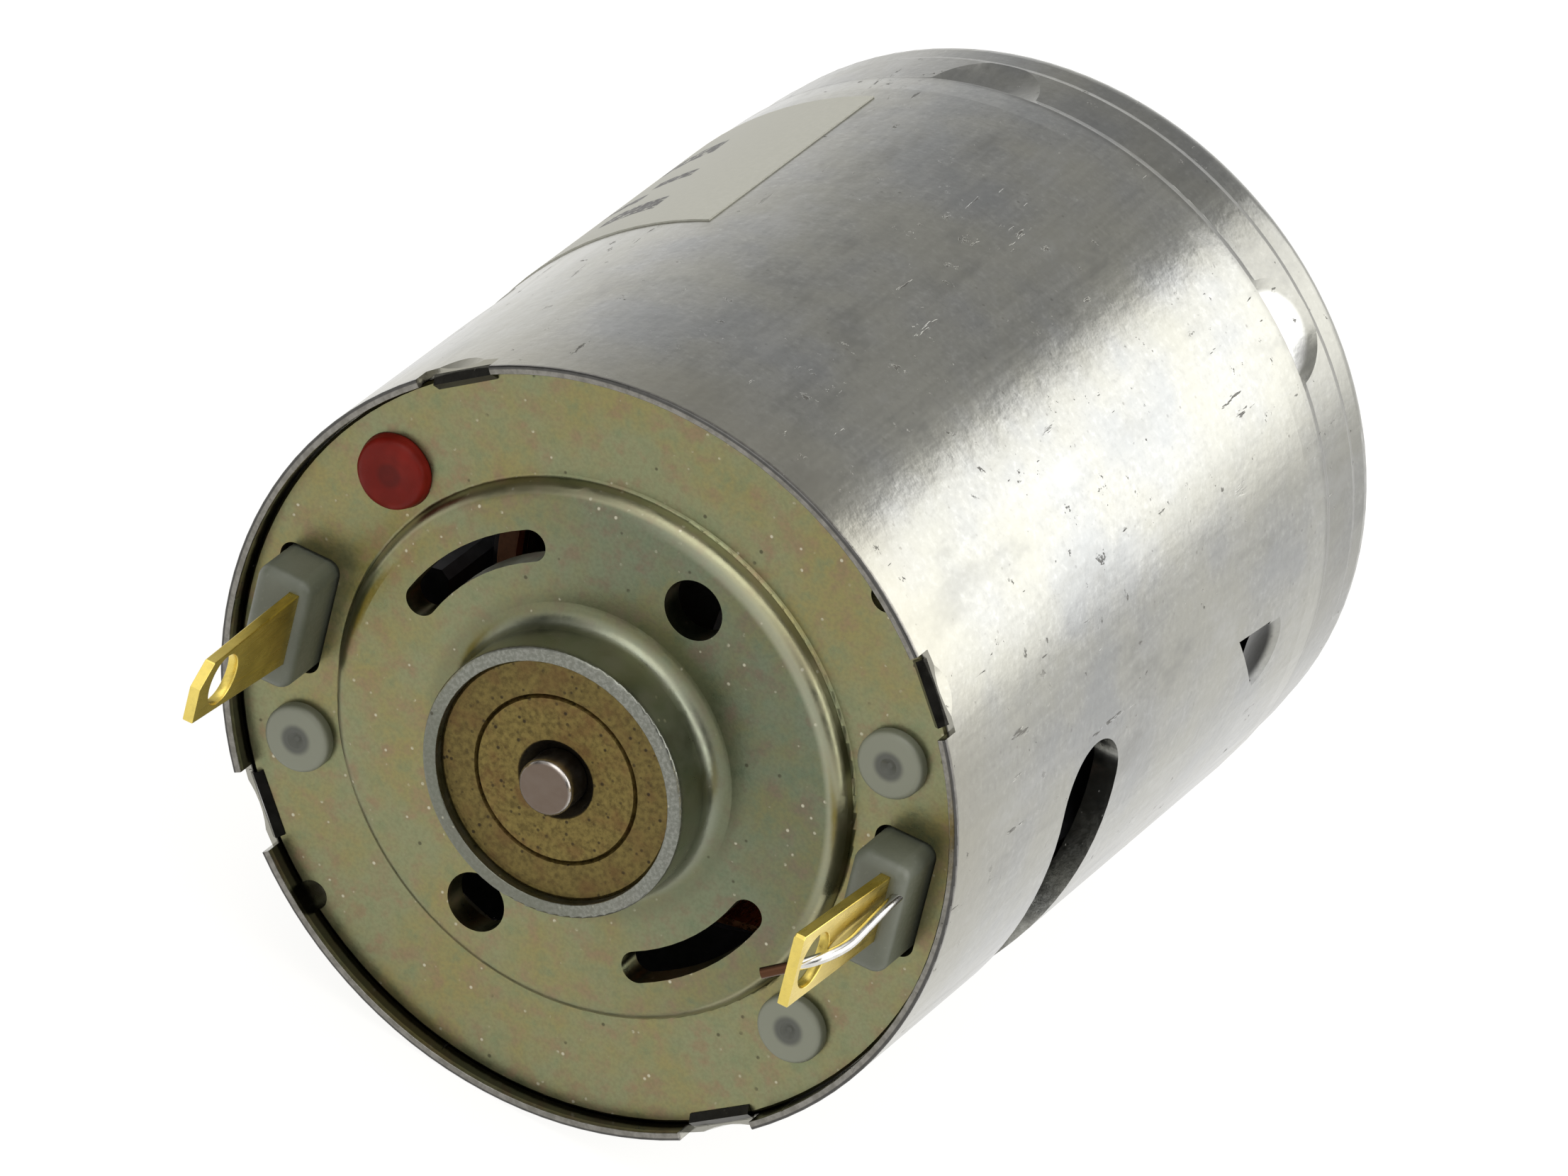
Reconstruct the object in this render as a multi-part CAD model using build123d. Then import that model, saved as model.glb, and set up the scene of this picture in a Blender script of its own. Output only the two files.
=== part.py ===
from build123d import *
from math import atan2, degrees, radians, sqrt, tan
import os

# Small permanent-magnet brushed DC motor in a drawn steel can (360/365 size).
#
# Row frame: the origin is the centre of the front mounting face, +Y is the shaft axis towards
# the output end and +Z is up. Every piece is drawn standing on the front face instead:
#     drawing x = row X,  drawing y = row Z,  drawing z = row -Y (towards the terminals)
# and in_row() turns it over when it is written. Angles run from +X towards row +Z.
# All lengths are millimetres and all angles degrees.

# ---------------------------------------------------------------- driving dimensions
CAN_R = 13.85
CAN_WALL = 0.9
BODY_LENGTH = 31.3
PLATE_T = 1.0
PLATE_CHAMFER = 0.1
HALF_TURN = (0, 180)

# shaft and bushings
SHAFT_R = 1.0
SHAFT_FRONT_REACH = 9.5
SHAFT_REAR_REACH = 3.6
SHAFT_END_ROUND = 0.22
OIL_GROOVE_DEPTH = 0.17
RUNNING_GAP = 0.02
FRONT_BUSHING_R = 3.0
FRONT_BUSHING_START = -1.0
FRONT_BUSHING_END = 2.4
REAR_BUSHING_START = 30.6
REAR_BUSHING_SUNK = 0.35
BORE_MOUTH_R = 1.42
BORE_MOUTH_DEPTH = 0.35
FACE_GROOVE_R = 2.99
FACE_GROOVE_W = 0.16

# crimped rear rim of the can
RIM_WALL = 0.3
RIM_PROUD = 0.75
RIM_EDGE_ROUND = 0.08
CRIMP_COUNT = 4
CRIMP_ANGLE = 40.3
CRIMP_HALF_ANGLE = 4.9
CRIMP_SLIT_HALF_ANGLE = 6.1
CRIMP_DENT_START = 0.5
CRIMP_DENT_R = 3.5
CRIMP_DENT_GAP = 0.03
CRIMP_FACETS = ((13.68, -0.05), (13.35, 0.28), (13.1, 0.03))

# stepped front shoulder of the can: where each ramp starts and ends, and how far it drops
SHOULDER_RAMPS = ((5.5, 4.35, 0.04), (4.2, 3.8, 0.13), (1.95, 1.65, 0.09))
SHOULDER_ROUND = 0.12
FRONT_CORNER_R = 0.9
FLOOR_STEP = 2.2

# front mounting face
FRONT_BOSS_R = 5.0
FRONT_BOSS_H = 1.7
FRONT_BOSS_ROUND = 0.3
FRONT_MOUTH_R = 1.7
SCREW_SPACING = 16.0
SCREW_HOLE_R = 1.15
FRONT_VENT_R = 9.2
FRONT_VENT_W = 2.2
FRONT_VENT_HALF_ANGLE = 24.0

# magnets and what locates them
MAGNET_AXIS_ANGLE = 78.8
MAGNET_HALF_ANGLE = 63.3
MAGNET_T = 2.65
MAGNET_START = 4.8
MAGNET_LENGTH = 17.8
DIMPLE_OFFSET_ANGLE = 29.2
DIMPLE_EDGE = 4.2
DIMPLE_DEPTH = 0.65
DIMPLE_BALL_R = 6.2
DIMPLE_RIM_ROUND = 0.7
DIMPLE_WALL = 0.75
DIMPLE_PATCH = 12.4
SPRING_T = 0.6
SPRING_START = 7.0
SPRING_END = 18.5

# lances: angle of the middle, and places on the can as (distance round it, height)
LANCE_ANGLE = 9.0
LANCE_APEX = (1.03, 10.9)
LANCE_ENDS = ((0.8, 8.41), (-1.37, 9.1))
LANCE_BENDS = ((0.45, 9.25), (-0.35, 9.45))
LANCE_DENT = (-0.1, 9.2)
LANCE_DENT_DEPTH = 0.4
LANCE_BALL_R = 4.0
LANCE_TOOTH = 1.1
LANCE_CORNER_SHARE = 0.93
LANCE_ROOT_SHARE = 0.8
LANCE_WEDGE_REACH = 3

# side vents through the can, in the gaps between the magnets
SIDE_VENT_CENTRE_ANGLE = -8.3
SIDE_VENT_HALF_ANGLE = 24.7
SIDE_VENT_W = 3.9
SIDE_VENT_FROM_PLATE = 9.55

# end plate
RAISED_R = 9.7
RAISED_H = 0.8
REAR_BOSS_R = 4.85
REAR_BOSS_WALL = 0.5
REAR_BOSS_H = 3.1
VENT_HOLE_R = 1.08
VENT_HOLE_PITCH_R = 7.47
VENT_HOLE_ANGLE = 76.0
VENT_SLOT_PITCH_R = 7.54
VENT_SLOT_W = 1.14
VENT_SLOT_ANGLE = 144.0
VENT_SLOT_HALF_ANGLE = 23.8
NOTCH_ANGLE = 55.3
NOTCH_CENTRE_R = 13.35
NOTCH_R = 0.55

# brush holders
TERMINAL_ANGLE = 5.7
WINDOW_CENTRE_R = 11.5
WINDOW_DEPTH = 2.3
WINDOW_WIDTH = 4.5
WINDOW_CORNER_R = 0.5
WINDOW_GAP = 0.12
BLOCK_H = 2.0
BLOCK_ROUND = 0.45
HOLDER_T = 1.4
HOLDER_INNER_R = 9.75
HOLDER_HALF_ANGLE = 37.0
HOLDER_FOOT_DROP = 3.2
STAKE_ANGLE = 29.4
STAKE_PITCH_R = 11.33
STAKE_R = 0.8
STAKE_HEAD_R = 1.22
STAKE_HEAD_H = 0.45
STAKE_DISH_R = 0.5
STAKE_DISH_DEPTH = 0.12
PAINT_T = 0.04

# solder blades: each is bent a little differently. Its inner face's distance from the shaft,
# where its middle line starts and how far that leans up, half its width at the root and the
# tip, the size of its cut corner, and its hole's height and radius
BLADES = {
    "right": dict(inner_r=11.62, middle=0.42, lean=3.9, root=1.25, tip=1.37, corner=0.1,
                  hole=7.0, hole_r=1.0),
    "left": dict(inner_r=10.78, middle=0.32, lean=1.2, root=1.5, tip=1.03, corner=0.75,
                 hole=6.6, hole_r=0.92),
}
BLADE_T = 0.38
BLADE_REACH = 8.3
BLADE_SUNK = 0.4
TAIL_HALF_W = 0.8
TAIL_LOW = 25.6

# choke lead: tinned wire beside the right blade
LEAD_R = 0.19
LEAD_OFF_BLADE = 0.3
LEAD_SIDE = 1.0
LEAD_LOW = 25.9

# brushes and their arms
LEAF_T = 0.25
LEAF_W = 2.4
LEAF_BEND_R = 0.8
BRUSH_W = 2.2
BRUSH_L = 2.0
BRUSH_DEPTH = 2.9
BRUSH_GAP = 0.1
BRUSH_FROM_SEGMENT_END = 2.6

# rotor
POLES = 5
ROTOR_R = 9.85
STACK_START = 7.3
STACK_LENGTH = 13.0
HUB_R = 3.1
TOOTH_W = 2.6
POLE_SHOE_T = 1.1
SLOT_OPENING = 1.3
INSULATOR_T = 0.5
INSULATOR_INSET = 0.4
COIL_T = 1.5
COIL_END = 1.6
COIL_ROUND = 1.2
COIL_GAP = 0.02
COIL_INNER_R = 4.6
COMMUTATOR_R = 3.4
SEGMENT_T = 0.7
SEGMENT_START = 22.7
SEGMENT_LENGTH = 6.2
SEGMENT_GAP_ANGLE = 6.0
RISER_REACH = 4.5
RISER_HALF_W = 0.5
HUB_END = 29.3
SPACER_R = 1.9
SPACER_PLAY = 0.35

# label on the can
LABEL_T = 0.06
LABEL_START = 6.4
LABEL_WIDTH = 12.0
LABEL_CENTRE_ANGLE = 161.5
LABEL_HALF_ANGLE = 41.5

# ---------------------------------------------------------------- derived dimensions
PLATE_TOP = BODY_LENGTH
PLATE_SEAT = PLATE_TOP - PLATE_T
RIM_TOP = PLATE_TOP + RIM_PROUD
RIM_INNER_R = CAN_R - RIM_WALL
PLATE_R = RIM_INNER_R - 0.05
CAN_INNER_R = CAN_R - CAN_WALL
RAISED_TOP = PLATE_TOP + RAISED_H
REAR_BOSS_TOP = PLATE_TOP + REAR_BOSS_H
REAR_BUSHING_R = REAR_BOSS_R - REAR_BOSS_WALL
REAR_BUSHING_TOP = REAR_BOSS_TOP - REAR_BUSHING_SUNK
BUSHING_BORE_R = SHAFT_R + RUNNING_GAP
MAGNET_END = MAGNET_START + MAGNET_LENGTH
STACK_END = STACK_START + STACK_LENGTH
SEGMENT_END = SEGMENT_START + SEGMENT_LENGTH
BLOCK_TOP = PLATE_TOP + BLOCK_H
STAKE_TOP = PLATE_TOP + STAKE_HEAD_H
HOLDER_BOTTOM = PLATE_SEAT - HOLDER_T
BRUSH_CENTRE = SEGMENT_END - BRUSH_FROM_SEGMENT_END
OUTSIDE_R = CAN_R + 1
BELOW = -FRONT_BOSS_H - 1


# ---------------------------------------------------------------- drawing helpers
def turned(points, radii=0, arc=360, start=0):
    """Body turned about the shaft axis from an outline of (radius, height) points."""
    corners = radii if radii else [0] * len(points)
    outline = FilletPolyline([(r, 0, z) for r, z in points], radius=corners, close=True)
    return Rot(0, 0, start) * revolve(make_face(outline), Axis.Z, arc)


def ring(outer, inner, low, high, centre=0, half=180):
    """Ring, or a sector of one, between two radii and two heights."""
    outline = ((inner, low), (outer, low), (outer, high), (inner, high))
    return turned(outline, arc=2 * half, start=centre - half)


def post(radius, low, high, at_radius=0, angle=0):
    """Round post parallel to the shaft."""
    stub = Cylinder(radius, high - low, align=(Align.CENTER, Align.CENTER, Align.MIN))
    return Rot(0, 0, angle) * Pos(at_radius, 0, low) * stub


def radial_post(radius, inner, outer, height, angle):
    """Round post that points away from the shaft."""
    stub = Cylinder(radius, outer - inner, align=(Align.CENTER, Align.CENTER, Align.MIN))
    return Rot(0, 0, angle) * Pos(inner, 0, height) * Rot(0, 90, 0) * stub


def block(inner, outer, low_side, high_side, low, high, angle=0):
    """Box set radially: from inner to outer radius, and sideways from low_side to high_side."""
    size = Box(outer - inner, high_side - low_side, high - low)
    middle = Pos((inner + outer) / 2, (low_side + high_side) / 2, (low + high) / 2)
    return Rot(0, 0, angle) * middle * size


def degrees_across(length, radius):
    """Angle that a short length covers at a radius."""
    return degrees(length / radius)


def arc_slot(pitch, width, low, high, centre, half):
    """Slot cutter that follows a circle about the shaft, with round ends."""
    end = half - degrees_across(width / 2, pitch)
    cutter = ring(pitch + width / 2, pitch - width / 2, low, high, centre, end)
    for side in (-end, end):
        cutter += post(width / 2, low, high, pitch, centre + side)
    return cutter


def edges_at(shape, height):
    """Edges that lie flat at one height."""
    return shape.edges().filter_by_position(Axis.Z, height - 0.01, height + 0.01)


# ---------------------------------------------------------------- can
def can_shell():
    """Drawn cup: stepped shoulder at the front, thin seat for the end plate at the rear."""
    shoulder = [(CAN_R, RIM_TOP)]
    radius = CAN_R
    for start, end, drop in SHOULDER_RAMPS:
        shoulder.append((radius, start))
        radius -= drop
        shoulder.append((radius, end))
    inner = [
        (0, 0),
        (0, CAN_WALL),
        (CAN_INNER_R - 0.2, CAN_WALL),
        (CAN_INNER_R - 0.2, FLOOR_STEP),
        (CAN_INNER_R, FLOOR_STEP + 0.5),
        (CAN_INNER_R, PLATE_SEAT),
        (RIM_INNER_R, PLATE_SEAT),
        (RIM_INNER_R, RIM_TOP),
    ]
    outline = inner + shoulder + [(radius, 0)]
    radii = [0] * len(inner) + [SHOULDER_ROUND] * len(shoulder) + [FRONT_CORNER_R]
    radii[2] = FRONT_CORNER_R / 2
    radii[len(inner) - 1] = RIM_EDGE_ROUND / 2
    radii[len(inner)] = RIM_EDGE_ROUND
    return turned(outline, radii)


def ball_dent(angle, side, height, depth, ball_r, wall):
    """Ball pushed into the can's wall: the hollow it leaves outside and its bulge inside."""
    around = angle + degrees_across(side, CAN_R)
    middle = Rot(0, 0, around) * Pos(CAN_R + ball_r - depth, 0, height)
    bulge = middle * Sphere(ball_r + wall) & post(CAN_INNER_R + 0.05, 0, BODY_LENGTH)
    return middle * Sphere(ball_r), bulge


def dimple(angle):
    """Punched stop for a magnet: a round hollow with one sheared edge and a soft rim."""
    ball, bulge = ball_dent(angle, 0, DIMPLE_EDGE, DIMPLE_DEPTH, DIMPLE_BALL_R, DIMPLE_WALL)
    reach = DIMPLE_BALL_R
    inner = CAN_R - 2
    wall = ring(CAN_R, inner, DIMPLE_EDGE - reach, DIMPLE_EDGE + reach, angle, DIMPLE_PATCH)
    dented = wall - ball
    rim = dented.edges().filter_by(GeomType.BSPLINE)
    hollow = wall - fillet(rim, DIMPLE_RIM_ROUND)
    front_half = post(OUTSIDE_R, CAN_WALL, DIMPLE_EDGE)
    return hollow & front_half, bulge & front_half


def lance(angle, mirrored):
    """Three-cornered hole cut on two sides, its metal pushed in as a tooth beside a magnet."""
    side = -1 if mirrored else 1
    low_r = CAN_INNER_R - LANCE_TOOTH

    def on_can(point):
        return Vector(0, point[0] * side, point[1])

    def prism(outline, outer):
        face = make_face(outline)
        return Rot(0, 0, angle) * Pos(low_r) * extrude(face, outer - low_r, dir=(1, 0, 0))

    apex = on_can(LANCE_APEX)
    ends = [on_can(end) for end in LANCE_ENDS]
    bends = [on_can(bend) for bend in LANCE_BENDS]
    hinge = [ends[0], *bends, ends[1]]
    window = prism(Polyline(*hinge, apex, close=True), OUTSIDE_R)
    middle = on_can(LANCE_DENT)
    corner = middle + (apex - middle) * LANCE_CORNER_SHARE
    beyond = [corner + (end - apex) * LANCE_WEDGE_REACH for end in ends]
    pushed = prism(Polyline(corner, *beyond, close=True), OUTSIDE_R)
    dent_side, dent_height = LANCE_DENT
    ball, bulge = ball_dent(
        angle, dent_side * side, dent_height, LANCE_DENT_DEPTH, LANCE_BALL_R, CAN_WALL
    )
    root = [middle + (point - middle) * LANCE_ROOT_SHARE for point in hinge]
    tooth = prism(Polyline(*root, close=True), CAN_INNER_R + 0.1)
    return ball & pushed, bulge & pushed, window, tooth


def crimp_tab(angle):
    """Piece of the rim between two slits, bent straight inwards over the edge of the end plate."""
    facets = [(r, PLATE_TOP + z) for r, z in CRIMP_FACETS]
    outer_r, fold_height = facets[0]
    over_plate = facets[-1][1]
    dent_low = PLATE_TOP - CRIMP_DENT_START
    inside = (PLATE_R + RIM_INNER_R) / 2
    outline = [(inside, dent_low), (CAN_R - 0.1, dent_low), *facets, (inside, over_plate)]
    half_w = CAN_R * radians(CRIMP_HALF_ANGLE)
    face = make_face(Polyline([(r, half_w, z) for r, z in outline], close=True))
    tab = extrude(face, 2 * half_w, dir=(0, -1, 0))
    slope = degrees(atan2(CAN_R - outer_r, fold_height - dent_low))
    roller = Cylinder(CRIMP_DENT_R, 4 * CRIMP_DENT_START)
    dent = Pos(outer_r + CRIMP_DENT_GAP, 0, fold_height) * Rot(0, -slope, 0) * Pos(CRIMP_DENT_R) * roller
    return Rot(0, 0, angle) * tab, Rot(0, 0, angle) * dent


def side_vent(centre):
    """Round-ended slot cutter through the side of the can, along its circumference."""
    middle = PLATE_TOP - SIDE_VENT_FROM_PLATE
    half_w = SIDE_VENT_W / 2
    end = SIDE_VENT_HALF_ANGLE - degrees_across(half_w, CAN_R)
    inner = CAN_INNER_R - 1
    cutter = ring(OUTSIDE_R, inner, middle - half_w, middle + half_w, centre, end)
    for side in (-end, end):
        cutter += radial_post(half_w, inner, OUTSIDE_R, middle, centre + side)
    return cutter


def can():
    body = can_shell()
    boss = post(FRONT_BOSS_R, -FRONT_BOSS_H, 0)
    body += fillet(edges_at(boss, -FRONT_BOSS_H), FRONT_BOSS_ROUND)
    body += post(FRONT_BUSHING_R + CAN_WALL, 0, FRONT_BUSHING_END - 0.4)
    body -= post(FRONT_BUSHING_R, FRONT_BUSHING_START, FRONT_BUSHING_END)
    body -= post(FRONT_MOUTH_R, BELOW, 0)
    for side in HALF_TURN:
        body -= post(SCREW_HOLE_R, BELOW, CAN_WALL + 1, SCREW_SPACING / 2, side)
        front_vent = (FRONT_VENT_R, FRONT_VENT_W, BELOW, CAN_WALL + 1)
        body -= arc_slot(*front_vent, 90 + side, FRONT_VENT_HALF_ANGLE)
        body -= side_vent(SIDE_VENT_CENTRE_ANGLE + side)
        for offset in (-DIMPLE_OFFSET_ANGLE, DIMPLE_OFFSET_ANGLE):
            hollow, bulge = dimple(MAGNET_AXIS_ANGLE + side + offset)
            body = body - hollow + bulge
    gap_angle = MAGNET_AXIS_ANGLE - 90
    for angle, mirrored in ((LANCE_ANGLE, False), (2 * gap_angle - LANCE_ANGLE, True)):
        dent, bulge, window, tooth = lance(angle, mirrored)
        body = body + bulge - dent - window + tooth
    for turn in range(CRIMP_COUNT):
        angle = CRIMP_ANGLE + turn * 360 / CRIMP_COUNT
        slit = (OUTSIDE_R, RIM_INNER_R - 0.01, PLATE_TOP, RIM_TOP + 1)
        tab, dent = crimp_tab(angle)
        body -= ring(*slit, angle, CRIMP_SLIT_HALF_ANGLE)
        body = body - dent + tab
    return body


# ---------------------------------------------------------------- end plate
def window(side, low, high, shrink=0.0):
    """Rounded prism of the terminal window, or of the block that fills it."""
    depth = WINDOW_DEPTH - 2 * shrink
    width = WINDOW_WIDTH - 2 * shrink
    prism = extrude(RectangleRounded(depth, width, WINDOW_CORNER_R), high - low)
    return Rot(0, 0, TERMINAL_ANGLE + side) * Pos(WINDOW_CENTRE_R, 0, low) * prism


def end_plate():
    """Stamped disc with a raised middle and a drawn boss for the rear bushing."""
    under_raised = RAISED_TOP - PLATE_T
    outline = [
        (PLATE_R, PLATE_SEAT),
        (PLATE_R, PLATE_TOP - PLATE_CHAMFER),
        (PLATE_R - PLATE_CHAMFER, PLATE_TOP),
        (RAISED_R, PLATE_TOP),
        (RAISED_R - 0.25, RAISED_TOP),
        (REAR_BOSS_R, RAISED_TOP),
        (REAR_BOSS_R, REAR_BOSS_TOP),
        (REAR_BUSHING_R, REAR_BOSS_TOP),
        (REAR_BUSHING_R, under_raised),
        (RAISED_R - 1.2, under_raised),
        (RAISED_R - 0.8, PLATE_SEAT),
    ]
    plate = turned(outline, [0, 0, 0, 0.12, 0.7, 0.7, 0.12, 0.05, 0.1, 0.3, 0.3])
    for side in HALF_TURN:
        plate -= window(side, PLATE_SEAT - 1, PLATE_TOP + 1)
        plate -= post(VENT_HOLE_R, 0, REAR_BOSS_TOP, VENT_HOLE_PITCH_R, VENT_HOLE_ANGLE + side)
        slot = (VENT_SLOT_PITCH_R, VENT_SLOT_W, 0, REAR_BOSS_TOP)
        plate -= arc_slot(*slot, VENT_SLOT_ANGLE + side, VENT_SLOT_HALF_ANGLE)
        plate -= post(NOTCH_R, 0, RIM_TOP, NOTCH_CENTRE_R, NOTCH_ANGLE + side)
        for stake in (-STAKE_ANGLE, STAKE_ANGLE):
            plate -= post(STAKE_R, 0, RIM_TOP, STAKE_PITCH_R, stake + side)
    return plate


# ---------------------------------------------------------------- bushings
def rear_bushing():
    """Sintered bronze bushing with a turned groove round its exposed face."""
    face = REAR_BUSHING_TOP
    bush = ring(REAR_BUSHING_R, BUSHING_BORE_R, REAR_BUSHING_START, face)
    mouth_low = face - BORE_MOUTH_DEPTH
    mouth = ((0, mouth_low), (BUSHING_BORE_R, mouth_low), (BORE_MOUTH_R, face), (0, face))
    bush -= turned(mouth)
    half_w = FACE_GROOVE_W / 2
    groove = (
        (FACE_GROOVE_R - half_w, face),
        (FACE_GROOVE_R, face - FACE_GROOVE_W),
        (FACE_GROOVE_R + half_w, face),
    )
    bush -= turned(groove)
    outer_edge = edges_at(bush, face).sort_by(SortBy.RADIUS)[-1]
    return chamfer(outer_edge, 0.12)


def front_bushing():
    return ring(FRONT_BUSHING_R, BUSHING_BORE_R, FRONT_BUSHING_START, FRONT_BUSHING_END)


# ---------------------------------------------------------------- magnets
def magnet(angle):
    """Ferrite arc that lies against the can."""
    inner = CAN_INNER_R - MAGNET_T
    arc = ring(CAN_INNER_R, inner, MAGNET_START, MAGNET_END, angle, MAGNET_HALF_ANGLE)
    return chamfer(arc.edges().filter_by(Axis.Z), 0.3)


def magnet_spring():
    """Bent steel strip that spreads the two magnets apart in the gap opposite the lances."""
    gap_angle = MAGNET_AXIS_ANGLE + 90
    half_gap = 90 - MAGNET_HALF_ANGLE
    outer = CAN_INNER_R - 0.1
    toe_half = 1.4
    toe_angle = half_gap - toe_half - 1.5
    strip = ring(outer, outer - SPRING_T, SPRING_START, SPRING_END, gap_angle, toe_angle)
    for side in (-1, 1):
        toe = (outer, outer - 1.9, SPRING_START, SPRING_END)
        strip += ring(*toe, gap_angle + side * toe_angle, toe_half)
    return strip


# ---------------------------------------------------------------- brush gear
def brush_holder(side, *held):
    """Moulded nylon carrier: a base under the plate, a block through its window, two stakes.

    The held metal pieces are moulded in, so the nylon is hollow where they run.
    """
    base = (CAN_INNER_R - 0.1, HOLDER_INNER_R, HOLDER_BOTTOM, PLATE_SEAT)
    body = ring(*base, side, HOLDER_HALF_ANGLE)
    foot = (HOLDER_INNER_R + 0.15, CAN_INNER_R - 0.35, -2.4, 2.4)
    foot_low = HOLDER_BOTTOM - HOLDER_FOOT_DROP
    body += block(*foot, foot_low, HOLDER_BOTTOM, TERMINAL_ANGLE + side)
    tower = window(side, PLATE_SEAT, BLOCK_TOP, WINDOW_GAP)
    body += fillet(edges_at(tower, BLOCK_TOP), BLOCK_ROUND)
    for angle in (side - STAKE_ANGLE, side + STAKE_ANGLE):
        body += post(STAKE_R, PLATE_SEAT, PLATE_TOP, STAKE_PITCH_R, angle)
        head = post(STAKE_HEAD_R, PLATE_TOP, STAKE_TOP)
        head = fillet(edges_at(head, STAKE_TOP), 0.2)
        head -= Pos(0, 0, STAKE_TOP) * Cone(0.1, STAKE_DISH_R, 2 * STAKE_DISH_DEPTH)
        body += Rot(0, 0, angle) * Pos(STAKE_PITCH_R, 0, 0) * head
    for piece in held:
        body -= piece
    return body


def polarity_mark():
    """Film of paint on top of one stake head."""
    film = post(STAKE_HEAD_R - 0.2, STAKE_TOP, STAKE_TOP + PAINT_T)
    film -= post(STAKE_DISH_R, STAKE_TOP, STAKE_TOP + 1)
    return Rot(0, 0, 180 - STAKE_ANGLE) * Pos(STAKE_PITCH_R, 0, 0) * film


def blade_middle(blade, height):
    """How far up the blade's middle line is at a height over the plate."""
    return blade["middle"] + tan(radians(blade["lean"])) * (height - BLOCK_H)


def terminal(side, upward, blade):
    """Brass blade with a solder hole, and its narrow tail inside the holder."""
    inner = blade["inner_r"]
    corner = blade["corner"]
    root = blade_middle(blade, -BLADE_SUNK)
    tip = blade_middle(blade, BLADE_REACH)
    outline = (
        (root - blade["root"], -BLADE_SUNK),
        (root + blade["root"], -BLADE_SUNK),
        (tip + blade["tip"], BLADE_REACH - corner),
        (tip + blade["tip"] - corner, BLADE_REACH),
        (tip - blade["tip"], BLADE_REACH),
    )
    points = [(0, upward * y, PLATE_TOP + z) for y, z in outline]
    face = make_face(Polyline(points, close=True))
    brass = Pos(inner, 0, 0) * extrude(face, BLADE_T, dir=(1, 0, 0))
    brass += block(inner, inner + BLADE_T, -TAIL_HALF_W, TAIL_HALF_W, TAIL_LOW, PLATE_TOP)
    hole = radial_post(blade["hole_r"], inner - 1, inner + 1, PLATE_TOP + blade["hole"], 0)
    brass -= Pos(0, upward * blade_middle(blade, blade["hole"]), 0) * hole
    return Rot(0, 0, TERMINAL_ANGLE + side) * brass


def brush_arm(side, blade):
    """Copper leaf spring from the tail of a terminal to the far side of the commutator."""
    under_brush = -(COMMUTATOR_R + BRUSH_GAP + BRUSH_DEPTH + LEAF_T / 2)
    tail_ends = [Vector(blade["inner_r"] - LEAF_T / 2, y) for y in (0.7, -2.2)]
    route = [end.rotate(Axis.Z, TERMINAL_ANGLE) for end in tail_ends]
    route += [Vector(7.3, -5.3), Vector(3.2, under_brush), Vector(-1.4, under_brush)]
    path = FilletPolyline(route, radius=[LEAF_BEND_R] * 3)
    leaf = extrude(trace(path, LEAF_T), LEAF_W)
    return Rot(0, 0, side) * Pos(0, 0, BRUSH_CENTRE - LEAF_W / 2) * leaf


def carbon_brush(side):
    """Block of carbon with a face hollowed to the commutator."""
    back = COMMUTATOR_R + BRUSH_GAP + BRUSH_DEPTH
    low = BRUSH_CENTRE - BRUSH_L / 2
    high = BRUSH_CENTRE + BRUSH_L / 2
    carbon = block(COMMUTATOR_R - 0.5, back, -BRUSH_W / 2, BRUSH_W / 2, low, high, -90 + side)
    return carbon - post(COMMUTATOR_R + BRUSH_GAP, 0, BODY_LENGTH)


def widest_bends(route):
    """Largest radii that let neighbouring bends of a wire share the runs between them."""
    radii = []
    for before, corner, after in zip(route, route[1:], route[2:]):
        shorter = min((corner - before).length, (after - corner).length)
        turn = (corner - before).get_angle(after - corner)
        radii.append(0.45 * shorter / tan(radians(turn / 2)))
    return radii


def choke_lead(blade):
    """Tinned wire up through the right block, along the blade and in through its hole."""
    beside = blade["inner_r"] + BLADE_T + LEAD_OFF_BLADE
    hole_height = PLATE_TOP + blade["hole"]
    route = [
        Vector(beside, LEAD_SIDE, LEAD_LOW),
        Vector(beside, LEAD_SIDE, BLOCK_TOP),
        Vector(beside + 0.1, LEAD_SIDE - 0.28, PLATE_TOP + 5.4),
        Vector(blade["inner_r"] + 0.3, LEAD_SIDE - 0.45, hole_height - 0.25),
        Vector(blade["inner_r"] - 1.15, LEAD_SIDE - 1.35, hole_height + 0.35),
    ]
    path = FilletPolyline(route, radius=widest_bends(route))
    wire = sweep(Plane(path @ 0, z_dir=path % 0) * Circle(LEAD_R), path=path)
    return Rot(0, 0, TERMINAL_ANGLE) * wire


# ---------------------------------------------------------------- label
def label():
    end = LABEL_START + LABEL_WIDTH
    sticker = (CAN_R + LABEL_T, CAN_R, LABEL_START, end)
    return ring(*sticker, LABEL_CENTRE_ANGLE, LABEL_HALF_ANGLE)


# ---------------------------------------------------------------- rotor
def shaft():
    """Ground rod with round ends and a shallow oil-stop groove outside the front bushing."""
    rod = post(SHAFT_R, -SHAFT_FRONT_REACH, PLATE_TOP + SHAFT_REAR_REACH)
    rod = fillet(rod.edges().filter_by(GeomType.CIRCLE), SHAFT_END_ROUND)
    groove_low = -FRONT_BOSS_H - 0.05
    groove_high = FRONT_BUSHING_START - 0.1
    return rod - ring(SHAFT_R + 1, SHAFT_R - OIL_GROOVE_DEPTH, groove_low, groove_high)


def pole_angle(pole):
    return pole * 360 / POLES


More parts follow.
